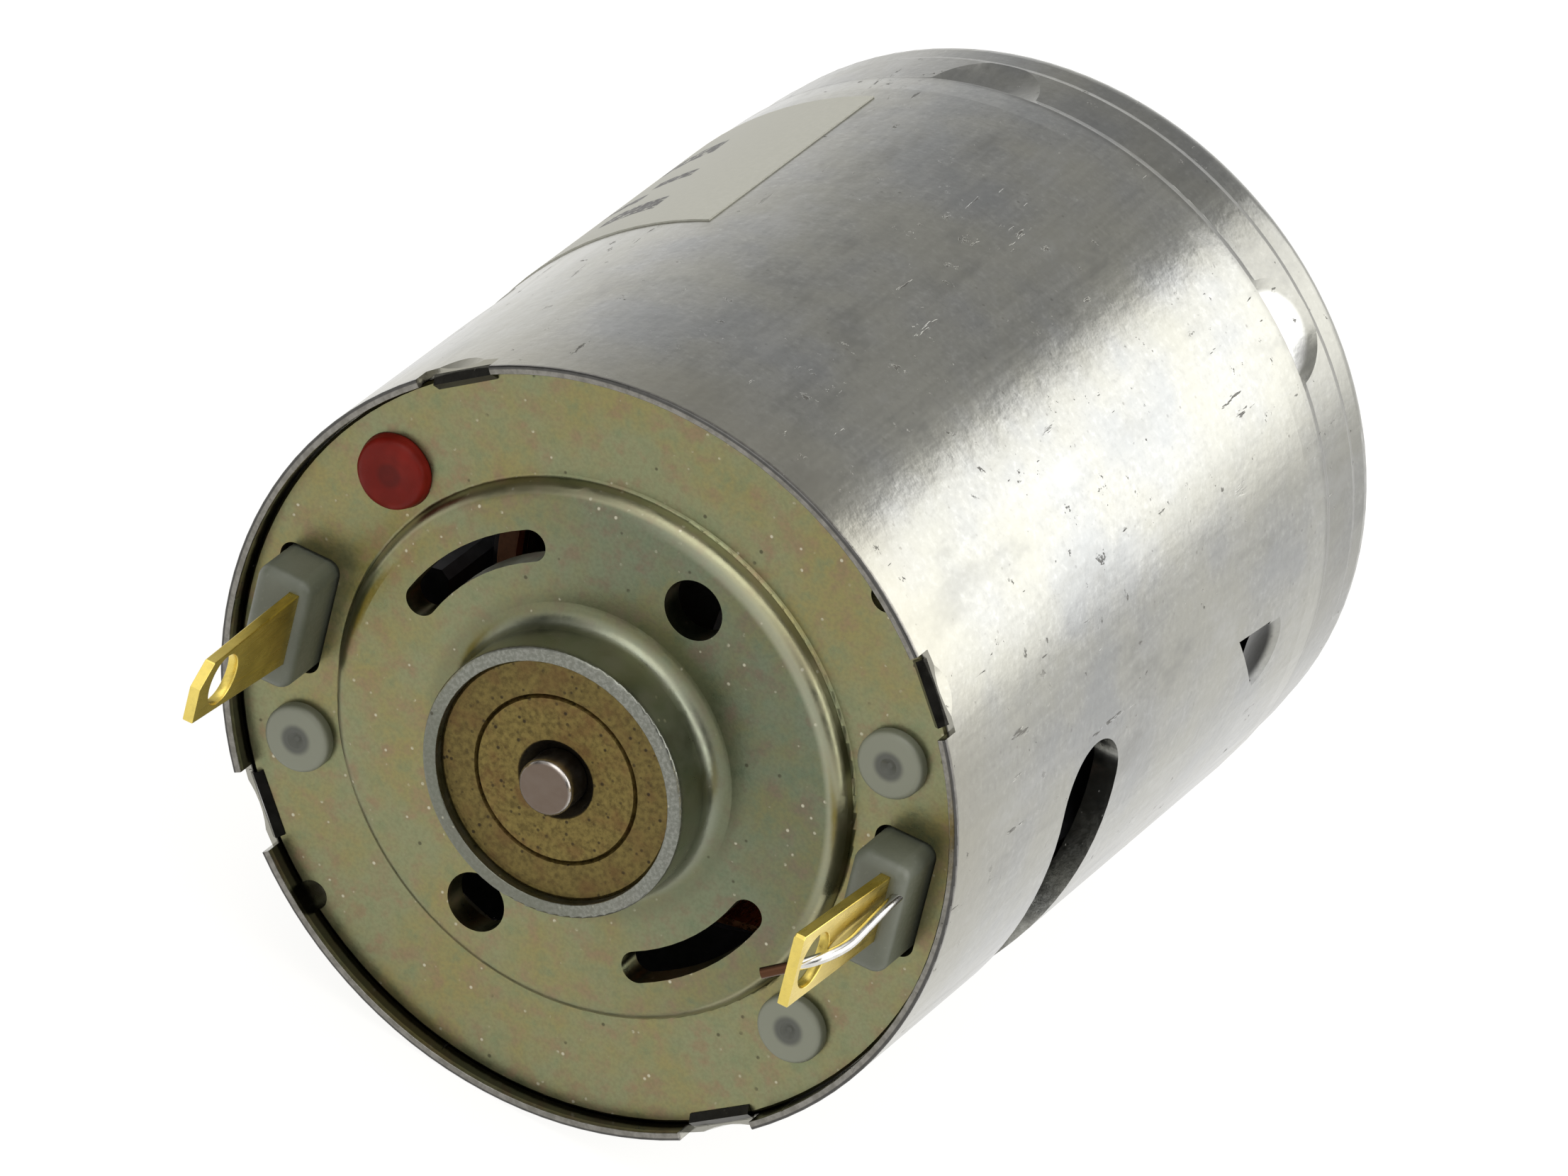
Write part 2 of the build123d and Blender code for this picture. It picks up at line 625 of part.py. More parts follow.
def lamination_outline(tip_r):
    """Star of teeth with pole shoes out to a radius, seen along the shaft."""
    shoe_half = 180 / POLES - degrees_across(SLOT_OPENING / 2, ROTOR_R)
    shoe_inner_r = ROTOR_R - POLE_SHOE_T
    edge = Vector(2 * ROTOR_R, 0)
    ends = [edge.rotate(Axis.Z, side * shoe_half) for side in (-1, 1)]
    wedge = make_face(Polyline([Vector(0, 0), *ends], close=True))
    shoe = (Circle(tip_r) - Circle(shoe_inner_r)) & wedge
    tooth_end = shoe_inner_r + POLE_SHOE_T / 2
    tooth = Pos(tooth_end / 2, 0) * Rectangle(tooth_end, TOOTH_W)
    star = Circle(HUB_R)
    for pole in range(POLES):
        star += Rot(0, 0, pole_angle(pole)) * (tooth + shoe)
    return star - Circle(SHAFT_R)


def lamination_stack():
    return Pos(0, 0, STACK_START) * extrude(lamination_outline(ROTOR_R), STACK_LENGTH)


def end_insulator(low):
    """Fibre washer cut to the shape of the teeth, between the steel and the windings."""
    return Pos(0, 0, low) * extrude(lamination_outline(ROTOR_R - INSULATOR_INSET), INSULATOR_T)


def coil(pole):
    """Winding round one tooth, as a solid bundle with rounded corners."""
    half_hole = TOOTH_W / 2 + COIL_GAP
    half_out = half_hole + COIL_T
    outer_r = sqrt((ROTOR_R - POLE_SHOE_T) ** 2 - half_out**2) - COIL_GAP
    hole_low = STACK_START - INSULATOR_T
    hole_high = STACK_END + INSULATOR_T
    outside = (COIL_INNER_R, outer_r, -half_out, half_out)
    bundle = block(*outside, hole_low - COIL_END, hole_high + COIL_END)
    bundle = fillet(bundle.edges().filter_by(Axis.X), COIL_ROUND)
    bundle -= block(0, ROTOR_R, -half_hole, half_hole, hole_low, hole_high)
    return Rot(0, 0, pole_angle(pole)) * bundle


def commutator_hub():
    return ring(COMMUTATOR_R - SEGMENT_T, SHAFT_R, STACK_END + INSULATOR_T, HUB_END)


def commutator_segment(segment):
    """Copper bar with a riser hook for the winding's end."""
    half = 180 / POLES - SEGMENT_GAP_ANGLE / 2
    inner = COMMUTATOR_R - SEGMENT_T
    bar = ring(COMMUTATOR_R, inner, SEGMENT_START, SEGMENT_END, 0, half)
    riser = (COMMUTATOR_R - 0.5, RISER_REACH, -RISER_HALF_W, RISER_HALF_W)
    bar += block(*riser, SEGMENT_START, SEGMENT_START + 0.5)
    return Rot(0, 0, pole_angle(segment) + 180 / POLES) * bar


def front_spacer():
    low = FRONT_BUSHING_END + SPACER_PLAY
    return ring(SPACER_R, SHAFT_R, low, STACK_START - INSULATOR_T)


def rear_thrust_washer():
    return ring(SPACER_R, SHAFT_R, HUB_END, REAR_BUSHING_START - SPACER_PLAY)


# ---------------------------------------------------------------- assembly
def all_pieces():
    right = terminal(0, 1, BLADES["right"])
    left = terminal(180, -1, BLADES["left"])
    right_arm = brush_arm(0, BLADES["right"])
    left_arm = brush_arm(180, BLADES["left"])
    lead = choke_lead(BLADES["right"])
    pieces = {
        "can": can(),
        "end_plate": end_plate(),
        "front_bushing": front_bushing(),
        "rear_bushing": rear_bushing(),
        "upper_magnet": magnet(MAGNET_AXIS_ANGLE),
        "lower_magnet": magnet(MAGNET_AXIS_ANGLE + 180),
        "magnet_spring": magnet_spring(),
        "right_terminal": right,
        "left_terminal": left,
        "right_brush_holder": brush_holder(0, right, right_arm, lead),
        "left_brush_holder": brush_holder(180, left, left_arm),
        "polarity_mark": polarity_mark(),
        "right_brush_arm": right_arm,
        "left_brush_arm": left_arm,
        "right_brush": carbon_brush(0),
        "left_brush": carbon_brush(180),
        "choke_lead": lead,
        "label": label(),
        "shaft": shaft(),
        "lamination_stack": lamination_stack(),
        "front_insulator": end_insulator(STACK_START - INSULATOR_T),
        "rear_insulator": end_insulator(STACK_END),
        "commutator_hub": commutator_hub(),
        "front_spacer": front_spacer(),
        "rear_thrust_washer": rear_thrust_washer(),
    }
    for pole in range(POLES):
        pieces[f"coil_{pole + 1}"] = coil(pole)
        pieces[f"commutator_segment_{pole + 1}"] = commutator_segment(pole)
    return pieces


def in_row(piece):
    """From the drawing frame to the row frame."""
    return Rot(90, 0, 0) * piece


os.makedirs("parts", exist_ok=True)
for name, piece in all_pieces().items():
    export_step(in_row(piece), f"parts/{name}.step")
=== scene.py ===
import bpy
from math import cos, pi, radians, sin
from mathutils import Matrix, Vector


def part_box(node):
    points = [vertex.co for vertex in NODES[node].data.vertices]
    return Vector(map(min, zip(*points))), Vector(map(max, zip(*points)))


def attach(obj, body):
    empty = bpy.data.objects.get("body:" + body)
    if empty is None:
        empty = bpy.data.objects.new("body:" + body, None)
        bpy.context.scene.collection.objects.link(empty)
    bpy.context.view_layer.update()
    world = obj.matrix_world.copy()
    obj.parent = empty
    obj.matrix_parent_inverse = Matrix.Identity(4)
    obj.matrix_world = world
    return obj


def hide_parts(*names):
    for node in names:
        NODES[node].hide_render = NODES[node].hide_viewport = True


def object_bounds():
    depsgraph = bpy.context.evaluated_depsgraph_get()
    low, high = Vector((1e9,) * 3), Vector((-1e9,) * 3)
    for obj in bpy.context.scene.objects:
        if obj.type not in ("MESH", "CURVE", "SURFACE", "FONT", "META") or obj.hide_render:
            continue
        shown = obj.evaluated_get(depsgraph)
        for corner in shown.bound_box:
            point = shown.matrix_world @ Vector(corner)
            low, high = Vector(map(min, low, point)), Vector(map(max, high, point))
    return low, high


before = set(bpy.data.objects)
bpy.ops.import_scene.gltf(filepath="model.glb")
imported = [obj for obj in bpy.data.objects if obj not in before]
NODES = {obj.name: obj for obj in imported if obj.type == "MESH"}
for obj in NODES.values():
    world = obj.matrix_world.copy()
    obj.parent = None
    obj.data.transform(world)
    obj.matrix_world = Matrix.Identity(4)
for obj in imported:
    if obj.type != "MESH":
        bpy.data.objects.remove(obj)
CAD_LOW, CAD_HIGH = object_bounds()

# ---------------------------------------------------------------- measures
# Row frame, metres: +Y along the shaft to the output end, so the end plate looks along -Y.
# Angles go round the shaft from +X towards +Z.
MM = 0.001
CAN_LOW, CAN_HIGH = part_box("can")
CAN_R = CAN_HIGH.x
RIM_INNER_R = CAN_R - 0.3 * MM
FLOOR_Z = CAN_LOW.z
SHOULDER = -4.2 * MM
DIMPLE_BACK, DIMPLE_FRONT = -4.2 * MM, -1.9 * MM
DIMPLE_R = CAN_R - 0.3 * MM
TOP_DIMPLE_FROM = radians(78)
LANCE_ANGLES = [radians(a) for a in (9, -31.4)]
LANCE_HALF_ANGLE = radians(9)
LANCE_BACK, LANCE_FRONT = -12.2 * MM, -7.2 * MM
PLATE_LOW, PLATE_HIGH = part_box("end_plate")
PLATE_T = 1.0 * MM
PLATE_FACE = PLATE_HIGH.y - PLATE_T
RIM_END = PLATE_FACE - 0.75 * MM
BOSS_END = PLATE_LOW.y
RAISED_R = 9.7 * MM
BOSS_R = 4.85 * MM
BUSHING_GROOVE_R = 3.0 * MM
BUSHING_MOUTH_R = 1.4 * MM
SHAFT_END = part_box("shaft")[0].y
LAMINATION_T = 0.5 * MM
TOOL_FEED = 0.11 * MM
LABEL_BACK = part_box("label")[0].y
TERMINAL_ANGLE = radians(5.7)
TERMINAL_TIP = CAD_LOW.y
BLADE_INNER_SIDE = 11.62 * MM
STAKE_PITCH_R = 11.33 * MM
STAKE_HEAD_R = 1.22 * MM
STAKE_DISH_R = 0.5 * MM
STAKE_ANGLES = [radians(a) for a in (29.4, -29.4, 150.6, 209.4)]
MARK_ANGLE = radians(150.6)

# windings, in mm: distances from the shaft's axis, and from the front face towards the plate
POLES = 5
COIL_INNER_R, COIL_OUTER_R = 4.6, 8.26
COIL_LOW, COIL_HIGH = 5.2, 22.4
COIL_HALF = 2.82
COIL_ROUND = 1.2
CORNER_STEPS = 5
WIRE_D = 0.3
WIRE_SIDES = 8
WIRE_LAYERS = 2
LAYER_NESTING = 0.87
TURNS = int((COIL_OUTER_R - COIL_INNER_R) / WIRE_D)
TURN_PITCH = (COIL_OUTER_R - COIL_INNER_R - WIRE_D) / (TURNS - 1)

# printed rows on the label: start and height in mm, distance from the edge and width in degrees
LABEL_EDGE_DEGREES = 120
PRINT_ROWS = [(2.0, 1.2, 24, 10), (4.2, 0.7, 30, 8), (5.5, 0.7, 23, 7), (8.4, 1.2, 30, 11)]

# paint over the stake head: radius and height over the plate, in mm, from the middle outwards
PAINT_PROFILE = [(0.05, 0.475), (0.2, 0.475), (0.4, 0.485), (0.6, 0.52), (0.8, 0.535),
                 (0.98, 0.525), (1.14, 0.49), (1.25, 0.4), (1.3, 0.25), (1.32, 0.1),
                 (1.36, 0.03), (1.3, -0.02)]
PAINT_SEGMENTS = 96
PAINT_WOBBLE = 0.006

# rounding of sharp CAD edges, in mm
SOFT_EDGES = {"brush_holder": 0.1, "terminal": 0.04}
SOFT_SEGMENTS = 3
SHARP_ANGLE = radians(35)
WELD_DISTANCE = 0.001 * MM

# ---------------------------------------------------------------- tones
# Linear RGB. A pair is the two ends of a blend.
ZINC_STREAKS = (0.300, 0.302, 0.288), (0.338, 0.339, 0.322)
ZINC_GRIT_DARK, ZINC_GRIT_LIGHT = (0.235, 0.236, 0.226), (0.42, 0.422, 0.405)
ZINC_FLECK = (0.13, 0.125, 0.115)
ZINC_BLUISH, ZINC_YELLOWISH = (0.265, 0.275, 0.285), (0.345, 0.338, 0.285)
ZINC_SMUDGE, ZINC_RUBBED = (0.215, 0.215, 0.200), (0.40, 0.402, 0.39)
ZINC_PIT = (0.075, 0.07, 0.062)
ZINC_SHOULDER = (0.12, 0.12, 0.115)
# painted highlight in the dimples
ZINC_DIMPLE_HIGHLIGHT = (0.56, 0.56, 0.55)
ZINC_NEAR_PLATE = (0.325, 0.31, 0.25)
RIM_SHEARED = (0.165, 0.158, 0.140), (0.235, 0.225, 0.205)
RIM_CORNER = (0.05, 0.05, 0.05)
RIM_INSIDE = (0.03, 0.028, 0.025)
LANCE_SHADE = (0.012, 0.012, 0.012)
OLIVE = (0.252, 0.222, 0.096), (0.226, 0.232, 0.130)
OLIVE_PINK, OLIVE_GREEN = (0.255, 0.176, 0.11), (0.165, 0.196, 0.108)
OLIVE_GRAIN = (0.16, 0.15, 0.085)
# grey tone with painted shade, for the raised middle's upper right
OLIVE_GREY_AND_SHADE = (0.62, 0.70, 0.84)
# painted highlight on the raised middle's bent edge
OLIVE_EDGE_HIGHLIGHT = (0.42, 0.42, 0.31)
# painted highlight on the step of the raised middle
OLIVE_RAMP_HIGHLIGHT = (0.42, 0.40, 0.26)
# first: painted glints; second: the plate's own dark specks
OLIVE_GLINT, OLIVE_DARK_SPECK = (0.56, 0.54, 0.42), (0.05, 0.045, 0.03)
# painted shade in the crease round the boss's base
BOSS_ROOT_SHADE = (0.13, 0.135, 0.085)
BOSS_WALL = (0.33, 0.35, 0.285)
BOSS_SHEARED = (0.115, 0.115, 0.11), (0.215, 0.215, 0.205)
BOSS_LOW_SIDE = (0.06, 0.062, 0.05)
BRONZE = (0.085, 0.062, 0.02), (0.20, 0.152, 0.048)
BRONZE_STAIN = (0.13, 0.062, 0.026)
BRONZE_OUTSIDE = (0.075, 0.055, 0.022)
BRONZE_PORE = (0.022, 0.016, 0.01)
# painted shade in the bore's opening
BRONZE_MOUTH_SHADE = (0.006, 0.005, 0.004)
BRASS = (0.50, 0.365, 0.055), (0.66, 0.50, 0.10)
BRASS_ROLLED = (0.22, 0.18, 0.045)
# painted highlight towards the blades' tips
BRASS_TIP_HIGHLIGHT = (0.88, 0.72, 0.22)
NYLON = (0.078, 0.085, 0.06), (0.105, 0.112, 0.085)
NYLON_GRAIN = (0.15, 0.155, 0.122)
# second: painted shade in the stake heads' dish
NYLON_HEAD, NYLON_DISH_SHADE = (0.185, 0.192, 0.143), (0.05, 0.052, 0.043)
PAINT = (0.105, 0.006, 0.003), (0.15, 0.009, 0.005)
PAINT_DISH = (0.055, 0.006, 0.004)
TIN = (0.60, 0.59, 0.56), (0.74, 0.73, 0.70)
LEAD_END = (0.085, 0.04, 0.022)
SHAFT_STEEL = (0.33, 0.30, 0.28), (0.55, 0.52, 0.49)
SHAFT_FACE = (0.125, 0.092, 0.07)
LABEL_FILM = (0.335, 0.33, 0.28), (0.39, 0.385, 0.335)
LABEL_INK = (0.045, 0.042, 0.04)
STACK_STEEL = (0.20, 0.20, 0.21), (0.30, 0.295, 0.29)
STACK_SEAM = (0.03, 0.028, 0.026)
ENAMEL = (0.36, 0.10, 0.03), (0.60, 0.20, 0.06)
ENAMEL_DARK = (0.20, 0.05, 0.018)
FLOOR_TONES = (0.14, 0.139, 0.135), (0.16, 0.159, 0.155)
STUDIO_WHITE = (1.0, 0.995, 0.98)


# ---------------------------------------------------------------- nodes in short
class Graph:
    """Writes the nodes of one material or world; a method returns the socket with its result."""

    def __init__(self, owner):
        owner.use_nodes = True
        self.owner = owner
        self.tree = owner.node_tree
        self.coords = self.node("ShaderNodeTexCoord").outputs
        self.place = self.coords["Object"]  # the row frame, in metres

    def node(self, kind, **settings):
        node = self.tree.nodes.new(kind)
        for key, value in settings.items():
            setattr(node, key, value)
        return node

    def feed(self, socket, value):
        if isinstance(value, bpy.types.NodeSocket):
            self.tree.links.new(value, socket)
        else:
            socket.default_value = value

    def axes(self, vector=None):
        split = self.node("ShaderNodeSeparateXYZ")
        self.feed(split.inputs[0], vector or self.place)
        return split.outputs

    def join(self, x, y, z):
        node = self.node("ShaderNodeCombineXYZ")
        for socket, value in zip(node.inputs, (x, y, z)):
            self.feed(socket, value)
        return node.outputs[0]

    def stretched(self, scale):
        """Place with each axis scaled, so that a pattern on it is drawn out."""
        node = self.node("ShaderNodeMapping")
        self.feed(node.inputs["Vector"], self.place)
        node.inputs["Scale"].default_value = scale
        return node.outputs[0]

    def math(self, kind, a, b=0.0):
        node = self.node("ShaderNodeMath", operation=kind)
        for socket, value in zip(node.inputs, (a, b)):
            self.feed(socket, value)
        return node.outputs[0]

    def times(self, a, b):
        return self.math("MULTIPLY", a, b)

    def plus(self, a, b):
        return self.math("ADD", a, b)

    def minus(self, a, b):
        return self.math("SUBTRACT", a, b)

    def length(self, a, b):
        return self.math("SQRT", self.plus(self.times(a, a), self.times(b, b)))

    def span(self, value, low, high, start=0.0, end=1.0):
        """Value from low..high moved smoothly to start..end, held at both ends."""
        node = self.node("ShaderNodeMapRange", interpolation_type="SMOOTHSTEP", clamp=True)
        for socket, part in zip(node.inputs, (value, low, high, start, end)):
            self.feed(socket, part)
        return node.outputs[0]

    def spread(self, noise, start=0.0, end=1.0):
        """Noise, which mostly keeps to 0.3..0.7, spread over start..end."""
        return self.span(noise, 0.3, 0.7, start, end)

    def between(self, value, rise_from, rise_to, fall_from, fall_to):
        """1 from rise_to to fall_from, 0 outside rise_from..fall_to."""
        risen = self.span(value, rise_from, rise_to)
        return self.times(risen, self.span(value, fall_to, fall_from))

    def noise(self, per_mm, detail=3.0, rough=0.55, vector=None, seed=0.0):
        node = self.node("ShaderNodeTexNoise", noise_dimensions="4D")
        self.feed(node.inputs["Vector"], vector or self.place)
        node.inputs["W"].default_value = seed
        node.inputs["Scale"].default_value = per_mm / MM
        node.inputs["Detail"].default_value = detail
        node.inputs["Roughness"].default_value = rough
        return node.outputs[0]

    def cells(self, per_mm):
        node = self.node("ShaderNodeTexVoronoi")
        self.feed(node.inputs["Vector"], self.place)
        node.inputs["Scale"].default_value = per_mm / MM
        return node.outputs["Distance"]

    def mix(self, share, a, b, kind="MIX"):
        node = self.node("ShaderNodeMix", data_type="RGBA", blend_type=kind)
        for name, value in (("Factor_Float", share), ("A_Color", a), ("B_Color", b)):
            socket = next(s for s in node.inputs if s.identifier == name)
            if isinstance(value, tuple):
                value = (*value, 1.0)
            self.feed(socket, value)
        return next(s for s in node.outputs if s.identifier == "Result_Color")

    def bump(self, height, depth_mm, normal=None):
        node = self.node("ShaderNodeBump")
        node.inputs["Distance"].default_value = depth_mm * MM
        self.feed(node.inputs["Height"], height)
        if normal:
            self.feed(node.inputs["Normal"], normal)
        return node.outputs[0]

    def radius(self):
        """Distance from the shaft's axis."""
        x, _, z = self.axes()
        return self.length(x, z)

    def angle(self):
        """Angle round the shaft."""
        x, _, z = self.axes()
        return self.math("ARCTAN2", z, x)

    def along(self):
        """Place along the shaft."""
        return self.axes()[1]

    def from_stake(self, angle):
        """Distance from the axis of the stake head at that angle."""
        x, _, z = self.axes()
        beside = self.minus(x, STAKE_PITCH_R * cos(angle))
        above = self.minus(z, STAKE_PITCH_R * sin(angle))
        return self.length(beside, above)

    def surface(self, **sockets):
        shader = self.tree.nodes["Principled BSDF"]
        for name, value in sockets.items():
            socket = shader.inputs[name.replace("_", " ")]
            if isinstance(value, tuple):
                value = (*value, 1.0)
            self.feed(socket, value)
        return self.owner


def new_material(name):
    return Graph(bpy.data.materials.new(name))


# ---------------------------------------------------------------- materials
def zinc_bands_and_dimple_highlight(g, tone):
    """Darker on the shoulder, a painted highlight in all dimples but the top one, yellower by the
    plate.
    """
    r, angle, y = g.radius(), g.angle(), g.along()
    shoulder = g.span(y, SHOULDER - 0.4 * MM, SHOULDER, 0, 0.32)
    tone = g.mix(shoulder, tone, ZINC_SHOULDER)
    # painted highlight: the dimples, all but the top one, lightened as if they reflected the
    # softbox
    dimple_highlight = g.times(g.span(r, DIMPLE_R, DIMPLE_R - 0.1 * MM),
                     g.between(y, DIMPLE_BACK, DIMPLE_BACK + 0.1 * MM,
                               DIMPLE_FRONT - 0.2 * MM, DIMPLE_FRONT))
    not_top = g.span(angle, TOP_DIMPLE_FROM, TOP_DIMPLE_FROM - radians(10), 0, 0.85)
    tone = g.mix(g.times(dimple_highlight, not_top), tone, ZINC_DIMPLE_HIGHLIGHT)
    near_plate = g.span(y, PLATE_FACE + 3.2 * MM, PLATE_FACE - 0.2 * MM, 0, 0.5)
    return g.mix(near_plate, tone, ZINC_NEAR_PLATE)


def rim_zinc(g, tone, grit):
    """The can's cut rim: sheared steel on its edge, shade at its corner and inside it."""
    r, y = g.radius(), g.along()
    on_rim = g.span(y, RIM_END + 0.2 * MM, RIM_END + 0.13 * MM)
    tone = g.mix(on_rim, tone, g.mix(g.span(grit, 0.35, 0.65), *RIM_SHEARED))
    corner = g.times(g.span(r, CAN_R - 0.13 * MM, CAN_R - 0.09 * MM),
                     g.span(y, RIM_END + 0.11 * MM, RIM_END + 0.05 * MM))
    tone = g.mix(g.times(corner, 0.8), tone, RIM_CORNER)
    inside = g.times(g.span(r, RIM_INNER_R + 0.06 * MM, RIM_INNER_R + 0.03 * MM),
                     g.span(y, RIM_END + 0.15 * MM, RIM_END + 0.25 * MM))
    inside = g.times(inside, g.span(y, PLATE_FACE + 0.3 * MM, PLATE_FACE))
    return g.mix(g.times(inside, 0.85), tone, RIM_INSIDE)


def lance_shade(g, tone):
    """Shade on the tongues that the lances push into the can."""
    r, angle, y = g.radius(), g.angle(), g.along()
    lanced = 0.0
    for middle in LANCE_ANGLES:
        off = g.math("ABSOLUTE", g.minus(angle, middle))
        beside = g.span(off, LANCE_HALF_ANGLE, LANCE_HALF_ANGLE - radians(1))
        lanced = g.math("MAXIMUM", lanced, beside)
    lanced = g.times(lanced, g.between(y, LANCE_BACK, LANCE_BACK + 0.2 * MM,
                                       LANCE_FRONT - 0.2 * MM, LANCE_FRONT))
    sunk = g.times(lanced, g.span(r, CAN_R - 0.08 * MM, CAN_R - 0.22 * MM))
    return g.mix(g.times(sunk, 0.93), tone, LANCE_SHADE)


def zinc_steel():
    """Bright zinc on drawn steel: lengthwise streaks, orange peel, clouds, pits and scores."""
    g = new_material("zinc_steel")
    lengthwise = g.stretched((1, 0.035, 1))
    streaks = g.noise(3.2, 4, 0.6, lengthwise)
    fine = g.noise(11, 2, 0.5, lengthwise, 3.0)
    cloud = g.noise(0.16, 3, 0.6, seed=5.0)
    peel = g.noise(0.7, 4, 0.6, seed=1.5)
    grit = g.noise(3.6, 3, 0.65, seed=2.5)
    smudge = g.noise(0.42, 4, 0.65, g.stretched((1, 0.45, 1)), 31.0)
    worn = g.span(g.noise(0.17, 1, 0.5, seed=9.0), 0.43, 0.53)
    pits = g.span(g.noise(1.5, 5, 0.7, seed=11.0), 0.64, 0.68)
    scores = g.span(g.noise(1.7, 4, 0.7, g.stretched((1, 0.16, 1)), 17.0), 0.655, 0.69)
    pits = g.times(g.math("MAXIMUM", pits, scores), worn)
    tone = g.mix(g.spread(streaks), *ZINC_STREAKS)
    tone = g.mix(g.span(grit, 0.5, 0.72, 0, 0.65), tone, ZINC_GRIT_LIGHT)
    tone = g.mix(g.span(grit, 0.48, 0.3, 0, 0.5), tone, ZINC_GRIT_DARK)
    fleck = g.times(g.span(g.cells(1.7), 0.13, 0.07), g.span(peel, 0.5, 0.6))
    tone = g.mix(g.times(fleck, 0.55), tone, ZINC_FLECK)
    tone = g.mix(g.span(cloud, 0.42, 0.62, 0, 0.5), tone, ZINC_YELLOWISH)
    tone = g.mix(g.span(cloud, 0.5, 0.35, 0, 0.5), tone, ZINC_BLUISH)
    tone = g.mix(g.span(smudge, 0.52, 0.7, 0, 0.6), tone, ZINC_SMUDGE)
    tone = g.mix(g.span(smudge, 0.46, 0.3, 0, 0.5), tone, ZINC_RUBBED)
    tone = zinc_bands_and_dimple_highlight(g, tone)
    tone = g.mix(g.times(pits, 0.75), tone, ZINC_PIT)
    tone = rim_zinc(g, tone, grit)
    tone = lance_shade(g, tone)
    rough = g.plus(g.spread(streaks, 0.17, 0.22), g.spread(cloud, -0.01, 0.03))
    rough = g.plus(rough, g.times(pits, 0.35))
    height = g.plus(g.times(streaks, 0.3), g.times(fine, 0.1))
    normal = g.bump(g.plus(height, g.times(grit, 1.6)), 0.0018)
    normal = g.bump(g.minus(peel, g.times(pits, 1.5)), 0.018, normal)
    normal = g.bump(smudge, 0.02, normal)
    return g.surface(Base_Color=tone, Metallic=1.0, Roughness=rough, Normal=normal)


def raised_olive(g, tone):
    """The raised middle: greyer, with painted shade towards its upper right, and a painted
    highlight along its bent edge.
    """
    r, y = g.radius(), g.along()
    x, _, z = g.axes()
    across = g.plus(g.times(x, 0.75), g.times(z, 0.66))
    upper_right = g.span(across, -6 * MM, 7.5 * MM)
    # the raised middle greyer, and darker as painted shade towards its upper right
    stretched = g.span(r, RAISED_R + 0.1 * MM, RAISED_R - 0.5 * MM, 0.1, 0.95)
    tone = g.mix(g.times(stretched, upper_right), tone, OLIVE_GREY_AND_SHADE, "MULTIPLY")
    # painted highlight along the bent edge, on the upper right only
    edge_highlight = g.between(r, RAISED_R - 0.75 * MM, RAISED_R - 0.5 * MM,
                          RAISED_R - 0.4 * MM, RAISED_R - 0.2 * MM)
    edge_highlight = g.times(edge_highlight, g.span(across, 4 * MM, 9 * MM, 0, 0.55))
    tone = g.mix(edge_highlight, tone, OLIVE_EDGE_HIGHLIGHT)
    # painted highlight on the slope of the step
    ramp_highlight = g.times(g.span(r, RAISED_R - 0.42 * MM, RAISED_R - 0.3 * MM),
                   g.span(y, PLATE_FACE - 0.06 * MM, PLATE_FACE - 0.16 * MM, 0, 0.5))
    return g.mix(ramp_highlight, tone, OLIVE_RAMP_HIGHLIGHT)


def boss_olive(g, tone, grain):
    """The bushing boss: painted shade at its root, stretched wall, sheared lip that is darker low
    on the left.
    """
    r, y = g.radius(), g.along()
    x, _, z = g.axes()
    # painted shade in the crease round the boss's base
    root = g.times(g.span(r, BOSS_R + 1.3 * MM, BOSS_R + 0.7 * MM),
                   g.span(r, BOSS_R - 0.1 * MM, BOSS_R + 0.1 * MM, 0, 0.5))
    tone = g.mix(root, tone, BOSS_ROOT_SHADE)
    boss = g.span(r, BOSS_R + 0.5 * MM, BOSS_R - 0.1 * MM, 0, 0.7)
    tone = g.mix(boss, tone, BOSS_WALL)
    lip = g.times(boss, g.span(y, BOSS_END + 0.35 * MM, BOSS_END + 0.1 * MM))
    sheared = g.mix(g.span(grain, 0.4, 0.65), *BOSS_SHEARED)
    low_side = g.span(g.plus(x, g.times(z, 1.4)), -1 * MM, -6 * MM, 0, 0.6)
    return g.mix(lip, tone, g.mix(low_side, sheared, BOSS_LOW_SIDE))


def yellow_passivated_steel():
    """Olive-yellow passivated plate, iridescent in patches, with painted glints and dark specks."""
    g = new_material("yellow_passivated_steel")
    patches = g.noise(0.28, 4, 0.6, seed=2.0)
    blotches = g.noise(1.3, 3, 0.6, seed=4.0)
    grain = g.noise(7.5, 2, 0.6, seed=6.0)
    tone = g.mix(g.span(patches, 0.36, 0.62), *OLIVE)
    tone = g.mix(g.span(blotches, 0.47, 0.72, 0, 0.75), tone, OLIVE_PINK)
    tone = g.mix(g.span(blotches, 0.5, 0.28, 0, 0.65), tone, OLIVE_GREEN)
    tone = g.mix(g.span(grain, 0.35, 0.7, 0, 0.35), tone, OLIVE_GRAIN)
    tone = raised_olive(g, tone)
    tone = boss_olive(g, tone, grain)
    # painted glints: small light spots where the grain would catch the light
    specks = g.times(g.span(g.cells(2.2), 0.17, 0.08), g.span(blotches, 0.5, 0.62))
    tone = g.mix(g.times(specks, 0.7), tone, OLIVE_GLINT)
    dark_specks = g.times(g.span(g.cells(1.1), 0.10, 0.05), g.span(patches, 0.5, 0.56))
    tone = g.mix(g.times(dark_specks, 0.7), tone, OLIVE_DARK_SPECK)
    rough = g.spread(blotches, 0.27, 0.38)
    normal = g.bump(g.plus(grain, g.times(blotches, 0.8)), 0.0036)
    normal = g.bump(g.noise(0.35, 2, 0.5, seed=8.0), 0.02, normal)
    return g.surface(Base_Color=tone, Metallic=1.0, Roughness=rough, Normal=normal)


